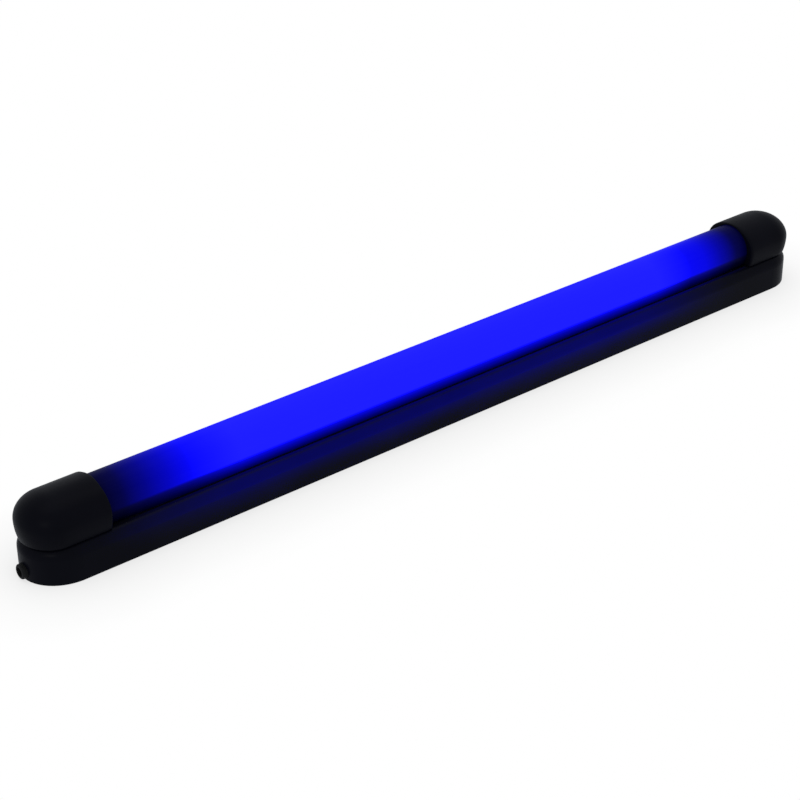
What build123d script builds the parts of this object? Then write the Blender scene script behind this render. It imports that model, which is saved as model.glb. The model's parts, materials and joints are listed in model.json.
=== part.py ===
from build123d import *

import os

# LED light tube: a slim batten with one T8 tube lying in a trough and a domed cover over each end.
# Millimetres. X runs along the tube, Y across it, Z up. The origin is the centre of the underside.
# Everything at an end is made once for the +X end ("right") and mirrored for the -X end ("left").

# Driving dimensions
BASE_LENGTH = 494.0
BASE_WIDTH = 36.8
BASE_HEIGHT = 18.0
BASE_END_DEPTH = 20.5  # the rounded ends are half ellipses in plan
SHOULDER_RADIUS = 5.5
WALL = 2.0
TUBE_DIAMETER = 25.6
TUBE_AXIS_Z = 24.9
TUBE_FACE_X = 218.7  # end faces of the tube caps, so the lamp is 437.4 long without its pins
COVER_RIM_X = 208.5
COVER_TIP_X = 247.2
COVER_WIDTH = 34.0
COVER_CREST_Z = 38.7
COVER_TRAVEL = 22.0
PIN_SPACING = 12.7  # G13 lamp base
PIN_DIAMETER = 2.4
PIN_LENGTH = 7.1

# Base housing
TROUGH_RADIUS = TUBE_DIAMETER / 2 + 1.0
TROUGH_SKIN = 1.8
TROUGH_FLOOR_Z = TUBE_AXIS_Z - TROUGH_RADIUS
CAVITY_TOP_Z = BASE_HEIGHT - WALL
CAVITY_ROUNDING = SHOULDER_RADIUS - WALL
POCKET_START_X = 217.5
POCKET_END_X = 230.0
POCKET_HALF_WIDTH = 11.6
END_BOSS = (236.0, 9.0)
MIDDLE_BOSS_X = 85.0
BOSS_RADIUS = 3.0
PILOT_RADIUS = 1.25
PILOT_DEPTH = 6.0
WALL_HOLE_X = 160.0
WALL_HOLE_RADIUS = 2.25
WALL_HOLE_HEAD_RADIUS = 4.5
WALL_HOLE_HEAD_DEPTH = 1.5
WALL_TUBE_RADIUS = 6.0

# Bottom cover
COVER_PLATE = 2.0
PLATE_GAP = 0.1
STANDOFF_HEIGHT = 1.6
STANDOFF_RADIUS = 2.2

# Screws: shank radius, head radius, head height
COVER_SCREW = (1.2, 2.6, 1.3)
HOLDER_SCREW = (1.2, 2.4, 1.3)
BOARD_SCREW = (0.75, 1.8, 1.0)
TERMINAL_SCREW = (1.1, 1.7, 1.0)
SCREW_HOLE_GAP = 0.1

# Cable grommet at the -X end
GROMMET_Z = 4.1
GROMMET_BORE_RADIUS = 2.3
GROMMET_NECK_RADIUS = 2.95
GROMMET_COLLAR_RADIUS = 3.65
GROMMET_FLANGE_RADIUS = 3.55
GROMMET_SEAT_X = BASE_LENGTH / 2 - 0.5
GROMMET_PROUD = 2.6
GROMMET_FLANGE = 1.1

# Lamp holders
HOLDER_FRONT_X = 219.0
HOLDER_BACK_X = 229.5
HOLDER_RADIUS = 11.8
HOLDER_HALF_WIDTH = 10.0
FRONT_BORE_RADIUS = 7.75
FRONT_BORE_END_X = 225.9
DISC_BORE_RADIUS = 8.7
DISC_BORE_END_X = 227.7
BACK_RECESS_RADIUS = 10.0
ENTRY_SLOT_WIDTH = 3.4
CONTACT_POCKET_X = (221.0, 225.2)
CONTACT_INNER_Y = 7.7
CONTACT_THICKNESS = 0.4
CONTACT_POCKET_OUTER_Y = 8.9
CONTACT_TOP_Z = TUBE_AXIS_Z + 3.0
CONTACT_TAIL_Z = 5.2
GUIDE_Z = (20.6, 22.0)
GUIDE_GAP = 0.25
GUIDE_DEPTH = 0.9

# Rotors
ROTOR_SHANK_RADIUS = 7.2
ROTOR_DISC_RADIUS = 8.65
ROTOR_FRONT_X = 219.2
ROTOR_DISC_X = (226.0, 227.6)
ROTOR_SLOT_WIDTH = 2.8

# End covers
COVER_WALL = 1.5
COVER_SEAT_GAP = 0.2
COVER_EQUATOR_Z = 26.3
COVER_LOWER_HALF_HEIGHT = 22.0
COVER_END_DEPTH = 16.0
COVER_RIM_THICKNESS = 3.0
COVER_RIM_ROUNDING = 1.3
COLLAR_BORE_RADIUS = 13.05
COLLAR_BORE_END_X = 219.6

# Tube
DIFFUSER_WALL = 0.9
DIFFUSER_END_X = 214.6
CAP_SPIGOT_X = 206.5
CAP_SPIGOT_WALL = 1.2
CAP_END_WALL = 2.0
CAP_PIN_GAP = 0.05
PIN_TAIL_X = 213.0
HEATSINK_HALF_LENGTH = 205.0
HEATSINK_TOP = -3.4  # from the tube's axis
HEATSINK_THICKNESS = 1.4
HEATSINK_HALF_WIDTH = 10.4
FIN_Y = 5.0
FIN_THICKNESS = 1.0
FIN_DEPTH = 3.4
LED_BOARD_HALF_LENGTH = 174.0
LED_BOARD_WIDTH = 14.0
BOARD_THICKNESS = 1.0
LED_COUNT = 36
LED_PITCH = 9.4
LED_SIZE = (3.5, 2.8, 0.7)
END_BOARD_X = (177.0, 203.0)
END_BOARD_WIDTH = 16.0
TUBE_LEAD_RADIUS = 0.5

# Driver on the bottom cover
DRIVER_HALF_LENGTH = 60.0
DRIVER_HALF_WIDTH = 13.0
DRIVER_THICKNESS = 1.2
DRIVER_HOLE = (54.0, 11.0)
DRIVER_BASE_Z = COVER_PLATE + STANDOFF_HEIGHT
DRIVER_TOP_Z = DRIVER_BASE_Z + DRIVER_THICKNESS
SEAT = 0.02

# Parts that stand on the driver board
INPUT_CAPACITOR = {"radius": 3.6, "x_range": (-30.0, -14.0), "y": 10.4}
OUTPUT_CAPACITOR = {"radius": 3.0, "x_range": (26.0, 38.0), "y": -10.4}
CAPACITOR_GROOVE_START = 2.0
CAPACITOR_GROOVE_WIDTH = 0.8
CAPACITOR_GROOVE_DEPTH = 0.3
CORE_X = (8.0, 21.0)
CORE_Y = (-14.8, -6.2)
CORE_HEIGHT = 5.4
CORE_SIDE_X = 2.5
CORE_SIDE_Y = 1.5
LEG_X = (13.2, 15.8)
LEG_LIFT = 1.7
LEG_HEIGHT = 2.2
WINDING_X = (11.0, 18.0)
WINDING_Y = (-13.2, -7.8)
WINDING_LIFT = 0.2
WINDING_HEIGHT = 5.0
CHOKE_PLACE = (-2.0, 3.5)
CHOKE_HEIGHT = 3.8
CHOKE_RADIUS = 3.0
CHOKE_CORE_RADIUS = 1.6
CHOKE_WINDING_RADIUS = 2.7
CHOKE_FLANGE = 0.7
FUSE_X = (-45.5, -33.5)
FUSE_Y = 3.5
FUSE_CAP_LENGTH = 1.5
FUSE_CAP_RADIUS = 1.6
FUSE_RADIUS = 1.4
RECTIFIER = {"x_range": (-28.0, -20.0), "y_range": (-3.2, 3.2), "height": 2.4}
CONTROLLER = {"x_range": (-12.0, -7.0), "y_range": (-8.0, -4.0), "height": 1.5}
SOLDER_BLOCK_HEIGHT = 2.4

# Wiring
TERMINAL_X = (-205.0, -189.0)
TERMINAL_HALF_WIDTH = 6.0
TERMINAL_HEIGHT = 6.6
WIRE_RADIUS = 0.8
LEAD_Z = DRIVER_TOP_Z + WIRE_RADIUS + 0.1

AXIS = Pos(0, 0, TUBE_AXIS_Z)


def bar(x_range, y_range, z_range):
    """A box from its low and high coordinates along X, Y and Z."""
    ranges = (x_range, y_range, z_range)
    size = [high - low for low, high in ranges]
    middle = [(high + low) / 2 for low, high in ranges]
    return Pos(*middle) * Box(*size)


def rod(radius, x_range, y=0.0, z=TUBE_AXIS_Z):
    """A round bar along X."""
    low, high = x_range
    return Pos((low + high) / 2, y, z) * Rot(0, 90, 0) * Cylinder(radius, high - low)


def post(radius, z_range, x=0.0, y=0.0):
    """A round bar along Z."""
    low, high = z_range
    return Pos(x, y, (low + high) / 2) * Cylinder(radius, high - low)


def left_of(shape):
    """The same shape at the -X end."""
    return mirror(shape, about=Plane.YZ)


def both_ends(shape):
    return [shape, left_of(shape)]


def group(shapes):
    """Separate solids kept as one node."""
    return Compound(children=[solid for shape in shapes for solid in shape.solids()])


def stadium(inset):
    """Plan outline of the base, moved in by inset: straight sides and half-elliptical ends."""
    half_length = BASE_LENGTH / 2 - inset
    half_width = BASE_WIDTH / 2 - inset
    depth = BASE_END_DEPTH - inset
    centre = half_length - depth
    outline = Rectangle(2 * centre, 2 * half_width)
    for side in (-1, 1):
        outline += Pos(side * centre, 0) * Ellipse(depth, half_width)
    return outline


def screw(size, length, countersunk=False):
    """A screw along -Z with the top of its head at the origin and a cross recess in it."""
    shank_radius, head_radius, head_height = size
    if countersunk:
        head = Pos(0, 0, -head_height / 2) * Cone(shank_radius, head_radius, head_height)
    else:
        head = Pos(0, 0, -head_height / 2) * Cylinder(head_radius, head_height)
        rim = head.edges().filter_by(GeomType.CIRCLE).sort_by(Axis.Z)[-1]
        head = fillet(rim, head_height * 0.4)
    shank = post(shank_radius, (-head_height - length, -head_height))
    arm = head_radius * 1.1
    recess = Box(arm, arm / 4, head_height)
    recess += Box(arm / 4, arm, head_height)
    return head + shank - recess


def base_bosses():
    """Centres of the six bosses that take the bottom cover's screws."""
    end_x, end_y = END_BOSS
    ends = [(sx * end_x, sy * end_y) for sx in (-1, 1) for sy in (-1, 1)]
    return ends + [(-MIDDLE_BOSS_X, 0.0), (MIDDLE_BOSS_X, 0.0)]


def base_housing():
    outer = extrude(stadium(0), BASE_HEIGHT)
    top_edges = outer.faces().sort_by(Axis.Z)[-1].edges()
    outer = fillet(top_edges, SHOULDER_RADIUS)

    cavity = extrude(stadium(WALL), CAVITY_TOP_Z)
    cavity_edges = cavity.faces().sort_by(Axis.Z)[-1].edges()
    cavity = fillet(cavity_edges, CAVITY_ROUNDING)
    cavity -= rod(TROUGH_RADIUS + TROUGH_SKIN, (-POCKET_END_X, POCKET_END_X))
    pocket_skin = bar(
        (POCKET_START_X - TROUGH_SKIN, POCKET_END_X + TROUGH_SKIN),
        (-POCKET_HALF_WIDTH - TROUGH_SKIN, POCKET_HALF_WIDTH + TROUGH_SKIN),
        (TROUGH_FLOOR_Z - TROUGH_SKIN, BASE_HEIGHT),
    )
    for skin in both_ends(pocket_skin):
        cavity -= skin
    for x, y in base_bosses():
        cavity -= post(BOSS_RADIUS, (COVER_PLATE, BASE_HEIGHT), x, y)
    for side in (-1, 1):
        cavity -= post(WALL_TUBE_RADIUS, (COVER_PLATE, BASE_HEIGHT), side * WALL_HOLE_X)

    housing = outer - cavity
    housing -= rod(TROUGH_RADIUS, (-HOLDER_FRONT_X, HOLDER_FRONT_X))
    pocket = bar(
        (POCKET_START_X, POCKET_END_X),
        (-POCKET_HALF_WIDTH, POCKET_HALF_WIDTH),
        (TROUGH_FLOOR_Z, BASE_HEIGHT + 1),
    )
    for hollow in both_ends(pocket):
        housing -= hollow
    for x, y in base_bosses():
        housing -= post(PILOT_RADIUS, (0, COVER_PLATE + PILOT_DEPTH), x, y)
    for side in (-1, 1):
        x = side * WALL_HOLE_X
        seat_z = TROUGH_FLOOR_Z - WALL_HOLE_HEAD_DEPTH
        housing -= post(WALL_HOLE_RADIUS, (0, BASE_HEIGHT), x)
        housing -= post(WALL_HOLE_HEAD_RADIUS, (seat_z, BASE_HEIGHT), x)
    housing -= group(holder_floor_holes())
    housing -= rod(
        GROMMET_NECK_RADIUS + 0.05, (-BASE_LENGTH / 2 - 1, 5 - BASE_LENGTH / 2), z=GROMMET_Z
    )
    housing -= rod(
        GROMMET_COLLAR_RADIUS + 0.1, (-BASE_LENGTH / 2 - 1, -GROMMET_SEAT_X), z=GROMMET_Z
    )
    return housing


def holder_screw_x():
    return (HOLDER_FRONT_X + HOLDER_BACK_X) / 2


def holder_floor_holes():
    """Holes in the pocket floors: one for the holder's screw and two for its contact tails."""
    floor = (TROUGH_FLOOR_Z - 3, TROUGH_FLOOR_Z + 1)
    holes = [post(HOLDER_SCREW[0] + SCREW_HOLE_GAP, floor, holder_screw_x())]
    for side in (-1, 1):
        inner = side * (CONTACT_INNER_Y - 0.3)
        outer = side * CONTACT_POCKET_OUTER_Y
        holes.append(bar(CONTACT_POCKET_X, sorted((inner, outer)), floor))
    return holes + [left_of(hole) for hole in holes]


def bottom_cover():
    plate = extrude(stadium(WALL + PLATE_GAP), COVER_PLATE)
    for sx in (-1, 1):
        for sy in (-1, 1):
            x = sx * DRIVER_HOLE[0]
            y = sy * DRIVER_HOLE[1]
            plate += post(STANDOFF_RADIUS, (COVER_PLATE, DRIVER_BASE_Z), x, y)
            plate -= post(BOARD_SCREW[0] + SCREW_HOLE_GAP, (0.6, DRIVER_BASE_Z), x, y)
    shank_radius, head_radius, head_height = COVER_SCREW
    recess_radius = head_radius + SCREW_HOLE_GAP
    for x, y in base_bosses():
        plate -= post(shank_radius + 0.3, (0, COVER_PLATE), x, y)
        plate -= Pos(x, y, head_height / 2) * Cone(recess_radius, shank_radius + 0.2, head_height)
    for side in (-1, 1):
        plate -= post(WALL_HOLE_RADIUS, (0, COVER_PLATE), side * WALL_HOLE_X)
    notch_end = BASE_LENGTH / 2 - WALL - 3.0
    half = GROMMET_FLANGE_RADIUS + 0.4
    plate -= bar((-BASE_LENGTH / 2, -notch_end), (-half, half), (0, COVER_PLATE))
    return plate


def bottom_cover_screws():
    length = COVER_PLATE + PILOT_DEPTH - COVER_SCREW[2] - 1.0
    upright = Rot(180, 0, 0) * screw(COVER_SCREW, length, countersunk=True)
    return group(Pos(x, y, SEAT) * upright for x, y in base_bosses())


def cable_grommet():
    outer_face = -GROMMET_SEAT_X - GROMMET_PROUD
    flange_face = 2.1 + 0.5 - BASE_LENGTH / 2
    inner_face = flange_face + GROMMET_FLANGE
    collar = rod(GROMMET_COLLAR_RADIUS, (outer_face, -GROMMET_SEAT_X), z=GROMMET_Z)
    mouth = collar.edges().filter_by(GeomType.CIRCLE).sort_by(Axis.X)[0]
    collar = fillet(mouth, GROMMET_PROUD * 0.35)
    neck = rod(GROMMET_NECK_RADIUS, (-GROMMET_SEAT_X, flange_face), z=GROMMET_Z)
    flange = rod(GROMMET_FLANGE_RADIUS, (flange_face, inner_face), z=GROMMET_Z)
    bore = rod(GROMMET_BORE_RADIUS, (outer_face, inner_face), z=GROMMET_Z)
    return collar + neck + flange - bore


def terminal_block():
    top = COVER_PLATE + TERMINAL_HEIGHT
    low, high = TERMINAL_X
    block = bar(TERMINAL_X, (-TERMINAL_HALF_WIDTH, TERMINAL_HALF_WIDTH), (COVER_PLATE, top))
    block = fillet(block.edges().filter_by(Axis.X), 0.6)
    block -= bar((low - 1, high + 1), (-0.6, 0.6), (top - 2.0, top + 1))
    for y in terminal_rows():
        block -= rod(1.4, (low, high), y, COVER_PLATE + 2.4)
        for x in terminal_screw_columns():
            block -= post(TERMINAL_SCREW[1] + 0.15, (COVER_PLATE + 2.4, top), x, y)
    return block


def terminal_rows():
    return (-TERMINAL_HALF_WIDTH / 2, TERMINAL_HALF_WIDTH / 2)


def terminal_screw_columns():
    low, high = TERMINAL_X
    return (low + 3.5, high - 3.5)


def terminal_screws():
    head_top = COVER_PLATE + TERMINAL_HEIGHT - 0.8
    one = screw(TERMINAL_SCREW, 1.4)
    places = [(x, y) for x in terminal_screw_columns() for y in terminal_rows()]
    return group(Pos(x, y, head_top) * one for x, y in places)


def driver_board():
    board = bar(
        (-DRIVER_HALF_LENGTH, DRIVER_HALF_LENGTH),
        (-DRIVER_HALF_WIDTH, DRIVER_HALF_WIDTH),
        (DRIVER_BASE_Z, DRIVER_TOP_Z),
    )
    for sx in (-1, 1):
        for sy in (-1, 1):
            hole = post(
                BOARD_SCREW[0] + SCREW_HOLE_GAP,
                (DRIVER_BASE_Z, DRIVER_TOP_Z),
                sx * DRIVER_HOLE[0],
                sy * DRIVER_HOLE[1],
            )
            board -= hole
    return board


def driver_board_screws():
    one = screw(BOARD_SCREW, DRIVER_THICKNESS + 1.2)
    head_top = DRIVER_TOP_Z + BOARD_SCREW[2] + SEAT
    places = [(sx * DRIVER_HOLE[0], sy * DRIVER_HOLE[1]) for sx in (-1, 1) for sy in (-1, 1)]
    return group(Pos(x, y, head_top) * one for x, y in places)


def on_board(x_range, y_range, height):
    """A box that stands on the driver board."""
    low = DRIVER_TOP_Z + SEAT
    return bar(x_range, y_range, (low, low + height))


def lying_capacitor(radius, x_range, y):
    """An electrolytic capacitor lying along X, with a rolled groove near its seal."""
    z = DRIVER_TOP_Z + radius + SEAT
    can = rod(radius, x_range, y, z)
    can = fillet(can.edges().filter_by(GeomType.CIRCLE), 0.5)
    groove_start = x_range[0] + CAPACITOR_GROOVE_START
    groove_x = (groove_start, groove_start + CAPACITOR_GROOVE_WIDTH)
    groove = rod(radius + 1, groove_x, y, z)
    groove -= rod(radius - CAPACITOR_GROOVE_DEPTH, groove_x, y, z)
    return can - groove


def transformer_core():
    """A ferrite ring with a middle leg."""
    core = on_board(CORE_X, CORE_Y, CORE_HEIGHT)
    window_x = (CORE_X[0] + CORE_SIDE_X, CORE_X[1] - CORE_SIDE_X)
    window_y = (CORE_Y[0] + CORE_SIDE_Y, CORE_Y[1] - CORE_SIDE_Y)
    core -= on_board(window_x, window_y, CORE_HEIGHT + 1)
    return core + transformer_leg(CORE_Y, 0.0)


def transformer_leg(y_range, gap):
    """The core's middle leg, grown by gap all round for the hole in the winding."""
    low = DRIVER_TOP_Z + LEG_LIFT
    return bar((LEG_X[0] - gap, LEG_X[1] + gap), y_range, (low - gap, low + LEG_HEIGHT + gap))


def transformer_winding():
    winding = Pos(0, 0, WINDING_LIFT) * on_board(WINDING_X, WINDING_Y, WINDING_HEIGHT)
    winding = fillet(winding.edges().filter_by(Axis.Y), 0.8)
    return winding - transformer_leg(WINDING_Y, 0.1)


def choke():
    """A ferrite bobbin: two flanges on a thin core."""
    low = DRIVER_TOP_Z + SEAT
    high = low + CHOKE_HEIGHT
    waist = (low + CHOKE_FLANGE, high - CHOKE_FLANGE)
    bobbin = post(CHOKE_RADIUS, (low, high), *CHOKE_PLACE)
    bobbin -= post(CHOKE_RADIUS + 1, waist, *CHOKE_PLACE)
    return bobbin + post(CHOKE_CORE_RADIUS, waist, *CHOKE_PLACE)


def choke_winding():
    low = DRIVER_TOP_Z + SEAT
    margin = CHOKE_FLANGE + 0.1
    ring = (low + margin, low + CHOKE_HEIGHT - margin)
    winding = post(CHOKE_WINDING_RADIUS, ring, *CHOKE_PLACE)
    return winding - post(CHOKE_CORE_RADIUS + 0.1, ring, *CHOKE_PLACE)


def fuse():
    """A ceramic tube fuse with its two metal caps."""
    z = DRIVER_TOP_Z + FUSE_CAP_RADIUS + 0.1
    low, high = FUSE_X
    fuse_solid = rod(FUSE_RADIUS, FUSE_X, FUSE_Y, z)
    fuse_solid += rod(FUSE_CAP_RADIUS, (low, low + FUSE_CAP_LENGTH), FUSE_Y, z)
    return fuse_solid + rod(FUSE_CAP_RADIUS, (high - FUSE_CAP_LENGTH, high), FUSE_Y, z)


def board_chips():
    """The bridge rectifier and the controller chip."""
    return group(on_board(**chip) for chip in (RECTIFIER, CONTROLLER))


def board_connectors():
    """The solder blocks where the mains wires and the two lead pairs end."""
    half = DRIVER_HALF_LENGTH
    blocks = []
    for side in (-1, 1):
        for row in (-1, 1):
            x_range = sorted((side * (half - 11.5), side * (half - 8.0)))
            y_range = sorted((row * 6.6, row * 9.0))
            blocks.append(on_board(x_range, y_range, SOLDER_BLOCK_HEIGHT))
    blocks.append(on_board((9.5 - half, 13.0 - half), (-4.6, 4.6), SOLDER_BLOCK_HEIGHT))
    return group(blocks)


def wire(points, turn_radii, radius=WIRE_RADIUS):
    """A round wire on straight runs joined by tangent arcs."""
    path = FilletPolyline(*points, radius=turn_radii)
    start = Plane(origin=path @ 0, z_dir=path % 0)
    return sweep(start * Circle(radius), path=path)


def holder_leads():
    """The pair of leads from the driver to the right holder's contacts."""
    leads = []
    contact_y = CONTACT_INNER_Y + CONTACT_THICKNESS + WIRE_RADIUS + 0.02
    for row in (-1, 1):
        points = [
            (DRIVER_HALF_LENGTH - 7.9, row * 7.8, LEAD_Z),
            (DRIVER_HALF_LENGTH + 16.0, row * 8.2, LEAD_Z),
            (DRIVER_HALF_LENGTH + 55.0, row * 11.6, 3.9),
            (WALL_HOLE_X, row * 12.6, 3.3),
            (WALL_HOLE_X + 28.0, row * 11.2, 4.6),
            (CONTACT_POCKET_X[0] - 14.0, row * contact_y, LEAD_Z + 0.4),
            (CONTACT_POCKET_X[1] - 0.4, row * contact_y, LEAD_Z + 0.4),
        ]
        leads.append(wire(points, [60.0, 60.0, 60.0, 60.0, 40.0]))
    return group(leads)


def mains_wires():
    """The line and neutral wires from the terminal block to the driver board."""
    wires = []
    for row in (-1, 1):
        points = [
            (TERMINAL_X[1] - 5.0, row * 3.0, COVER_PLATE + 2.4),
            (TERMINAL_X[1] + 9.0, row * 3.4, COVER_PLATE + 2.2),
            (-WALL_HOLE_X, row * 8.2, COVER_PLATE + 1.4),
            (-WALL_HOLE_X + 30.0, row * 7.4, COVER_PLATE + 1.2),
            (-MIDDLE_BOSS_X - 8.0, row * 5.2, COVER_PLATE + 1.8),
            (-DRIVER_HALF_LENGTH - 6.0, row * 3.8, LEAD_Z - 0.2),
            (-DRIVER_HALF_LENGTH + 9.4, row * 3.4, LEAD_Z),
        ]
        wires.append(wire(points, [20.0, 20.0, 60.0, 60.0, 40.0]))
    return group(wires)


def lampholder():
    """Fixed body of the right lamp holder, open at the top for the pins and at the back for the rotor."""
    span = (HOLDER_FRONT_X, HOLDER_BACK_X)
    body = rod(HOLDER_RADIUS, span)
    body += bar(span, (-HOLDER_HALF_WIDTH, HOLDER_HALF_WIDTH), (TROUGH_FLOOR_Z, TUBE_AXIS_Z))
    body -= rod(FRONT_BORE_RADIUS, (HOLDER_FRONT_X, FRONT_BORE_END_X))
    body -= rod(DISC_BORE_RADIUS, (FRONT_BORE_END_X, DISC_BORE_END_X))
    body -= rod(BACK_RECESS_RADIUS, (DISC_BORE_END_X, HOLDER_BACK_X))
    half_slot = ENTRY_SLOT_WIDTH / 2
    body -= bar(
        (HOLDER_FRONT_X, FRONT_BORE_END_X), (-half_slot, half_slot), (TUBE_AXIS_Z, TUBE_AXIS_Z + 20)
    )
    for side in (-1, 1):
        inner = side * (CONTACT_INNER_Y - 0.3)
        outer = side * CONTACT_POCKET_OUTER_Y
        y_range = sorted((inner, outer))
        body -= bar(CONTACT_POCKET_X, y_range, (TROUGH_FLOOR_Z, CONTACT_TOP_Z + 0.3))
        groove_y = sorted((side * (HOLDER_RADIUS - GUIDE_DEPTH), side * (HOLDER_RADIUS + 1)))
        body -= bar(span, groove_y, GUIDE_Z)
    pilot = (TROUGH_FLOOR_Z, TROUGH_FLOOR_Z + 5.0)
    body -= post(HOLDER_SCREW[0] + 0.05, pilot, holder_screw_x())
    return body


def holder_back():
    """Plate pressed into the back of the holder; it keeps the rotor in."""
    plate = rod(BACK_RECESS_RADIUS - 0.1, (DISC_BORE_END_X + 0.05, HOLDER_BACK_X - 0.1))
    for side in (-1, 1):
        plate -= rod(1.2, (DISC_BORE_END_X, HOLDER_BACK_X), side * 5.5)
    return plate


def holder_rotor():
    """Turning insert with the slot that takes both pins."""
    low, high = ROTOR_DISC_X
    rotor = rod(ROTOR_SHANK_RADIUS, (ROTOR_FRONT_X, low))
    rotor += rod(ROTOR_DISC_RADIUS, (low, high))
    half_slot = ROTOR_SLOT_WIDTH / 2
    slot = bar(
        (ROTOR_FRONT_X, low),
        (-ROTOR_DISC_RADIUS, ROTOR_DISC_RADIUS),
        (TUBE_AXIS_Z - half_slot, TUBE_AXIS_Z + half_slot),
    )
    return rotor - slot


def holder_contacts():
    """Two brass blades beside the pins, with tails through the floor."""
    blades = []
    x_range = (CONTACT_POCKET_X[0] + 0.2, CONTACT_POCKET_X[1] - 0.2)
    for side in (-1, 1):
        inner = side * CONTACT_INNER_Y
        outer = side * (CONTACT_INNER_Y + CONTACT_THICKNESS)
        blades.append(bar(x_range, sorted((inner, outer)), (CONTACT_TAIL_Z, CONTACT_TOP_Z)))
    return group(blades)


def holder_screw():
    one = screw(HOLDER_SCREW, TROUGH_SKIN + 4.0)
    upright = Rot(180, 0, 0) * one
    head_z = TROUGH_FLOOR_Z - TROUGH_SKIN - HOLDER_SCREW[2] - SEAT
    return Pos(holder_screw_x(), 0, head_z) * upright


def capsule(inset, half_height, rounding):
    """Half a long capsule about the cover's equator line, open at the rim, scaled to its section.

    It is turned in a unit-radius space and then stretched, so its dome and its section are elliptical.
    """
    depth = COVER_END_DEPTH - inset
    half_width = COVER_WIDTH / 2 - inset
    dome_x = COVER_TIP_X - COVER_END_DEPTH
    rim_x = COVER_RIM_X if rounding else COVER_RIM_X + COVER_RIM_THICKNESS
    start = (rim_x - dome_x) / depth
    profile = Polyline((0, 1), (start, 1), (start, 0), (1, 0))
    profile += CenterArc((0, 0), 1, 0, 90)
    solid = revolve(make_face(profile), Axis.X)
    if rounding:
        rim = solid.edges().filter_by(GeomType.CIRCLE).sort_by(Axis.X)[0]
        solid = fillet(rim, rounding / half_width)
    stretched = scale(solid, by=(depth, half_width, half_height))
    return Pos(dome_x, 0, COVER_EQUATOR_Z) * stretched


def cover_form(inset, rounding=0.0):
    """The cover's solid form: a low ellipse above the equator and a steep one below it."""
    upper_height = COVER_CREST_Z - COVER_EQUATOR_Z - inset
    lower_height = COVER_LOWER_HALF_HEIGHT - inset
    x_range = (COVER_RIM_X - 1, COVER_TIP_X + 1)
    y_range = (-COVER_WIDTH, COVER_WIDTH)
    seat_z = BASE_HEIGHT + COVER_SEAT_GAP
    above = bar(x_range, y_range, (COVER_EQUATOR_Z, COVER_CREST_Z + 1))
    below_low = seat_z if rounding else seat_z - 1
    below = bar(x_range, y_range, (below_low, COVER_EQUATOR_Z))
    upper = capsule(inset, upper_height, rounding) & above
    lower = capsule(inset, lower_height, rounding) & below
    return upper, lower


def end_cover():
    """The right end cover: a domed shell, open below, with a collar round the tube's end."""
    outer_upper, outer_lower = cover_form(0.0, COVER_RIM_ROUNDING)
    cover = outer_upper + outer_lower
    for hollow in cover_form(COVER_WALL):
        cover -= hollow
    cover -= rod(COLLAR_BORE_RADIUS, (COVER_RIM_X - 1, COLLAR_BORE_END_X))
    low, high = GUIDE_Z
    for side in (-1, 1):
        inner = side * (HOLDER_RADIUS - GUIDE_DEPTH + GUIDE_GAP)
        outer = side * (COVER_WIDTH / 2 - COVER_WALL * 1.2)
        rail = bar(
            (HOLDER_FRONT_X + 0.6, HOLDER_FRONT_X + COVER_TRAVEL - 4.0),
            sorted((inner, outer)),
            (low + GUIDE_GAP, high - GUIDE_GAP),
        )
        cover += rail
    return cover


def tube_diffuser():
    span = (-DIFFUSER_END_X, DIFFUSER_END_X)
    outer_radius = TUBE_DIAMETER / 2
    return rod(outer_radius, span) - rod(outer_radius - DIFFUSER_WALL, span)


def heat_sink():
    span = (-HEATSINK_HALF_LENGTH, HEATSINK_HALF_LENGTH)
    low = HEATSINK_TOP - HEATSINK_THICKNESS
    strip = bar(span, (-HEATSINK_HALF_WIDTH, HEATSINK_HALF_WIDTH), (low, HEATSINK_TOP))
    for side in (-1, 1):
        y = side * FIN_Y
        strip += bar(span, (y - FIN_THICKNESS / 2, y + FIN_THICKNESS / 2), (low - FIN_DEPTH, low))
    return AXIS * strip


def led_board():
    half = LED_BOARD_HALF_LENGTH
    low = HEATSINK_TOP
    board = bar((-half, half), (-LED_BOARD_WIDTH / 2, LED_BOARD_WIDTH / 2), (low, low + BOARD_THICKNESS))
    return AXIS * board


def led_chips():
    low = HEATSINK_TOP + BOARD_THICKNESS
    length, width, height = LED_SIZE
    first = -LED_PITCH * (LED_COUNT - 1) / 2
    chip = AXIS * Pos(0, 0, low + height / 2) * Box(length, width, height)
    return group(Pos(first + index * LED_PITCH, 0, 0) * chip for index in range(LED_COUNT))


def end_board():
    """Small input board at the right end of the tube, with its fuse and filter parts."""
    low = HEATSINK_TOP
    half = END_BOARD_WIDTH / 2
    board = bar(END_BOARD_X, (-half, half), (low, low + BOARD_THICKNESS))
    top = low + BOARD_THICKNESS
    start = END_BOARD_X[0]
    board += bar((start + 3, start + 9), (-6, -1), (top, top + 2.2))
    board += bar((start + 3, start + 7), (2, 6), (top, top + 1.6))
    board += post(2.4, (top, top + 5.0), start + 15, 3.0)
    board += rod(1.3, (start + 12, start + 20), -4.0, top + 1.2)
    return AXIS * board


def tube_leads():
    """Two short wires from the pins' tails to the end board."""
    leads = []
    board_z = TUBE_AXIS_Z + HEATSINK_TOP + BOARD_THICKNESS + TUBE_LEAD_RADIUS + 0.05
    for side in (-1, 1):
        y = side * PIN_SPACING / 2
        points = [
            (PIN_TAIL_X - 0.02, y, TUBE_AXIS_Z),
            (PIN_TAIL_X - 5.0, y, TUBE_AXIS_Z),
            (END_BOARD_X[1] + 1.0, y, board_z),
            (END_BOARD_X[1] - 4.0, y, board_z),
        ]
        leads.append(wire(points, [4.0, 4.0], TUBE_LEAD_RADIUS))
    return group(leads)


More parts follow.
